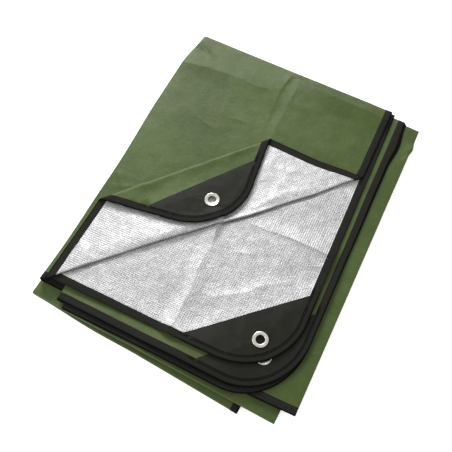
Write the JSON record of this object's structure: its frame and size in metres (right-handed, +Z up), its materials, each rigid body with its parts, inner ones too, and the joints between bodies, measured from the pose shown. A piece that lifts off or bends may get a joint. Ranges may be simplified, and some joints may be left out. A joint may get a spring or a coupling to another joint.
{
  "type": "emergency foil blanket",
  "caption": "Reusable emergency blanket, green on one face and silver on the other, with bound edges and eyelets, folded flat with a corner turned back.",
  "frame": {"origin": "under the middle of the folded pack, on the surface that it rests on", "axes": "+X to the pack's right, across its width; +Y away along its length; +Z up"},
  "size_m": [0.4412, 0.5884, 0.0296],
  "materials": {
    "laminated_sheet": "coated laminate, matt olive green on one face, aluminised silver over a woven scrim on the other",
    "edge_tape": "black woven binding tape, matt, stitched along its inner edge",
    "corner_patch": "black coated reinforcement cloth, satin, stitched along its long edge",
    "eyelet_metal": "nickel-plated brass, pale and slightly worn"
  },
  "bodies": {
    "root": {"blanket": "laminated_sheet", "edge_binding": "edge_tape", "corner_patch_1": "corner_patch", "corner_patch_2": "corner_patch", "corner_patch_3": "corner_patch", "corner_patch_4": "corner_patch", "eyelet_1": "eyelet_metal", "eyelet_2": "eyelet_metal", "eyelet_3": "eyelet_metal", "eyelet_4": "eyelet_metal"}
  },
  "joints": []
}
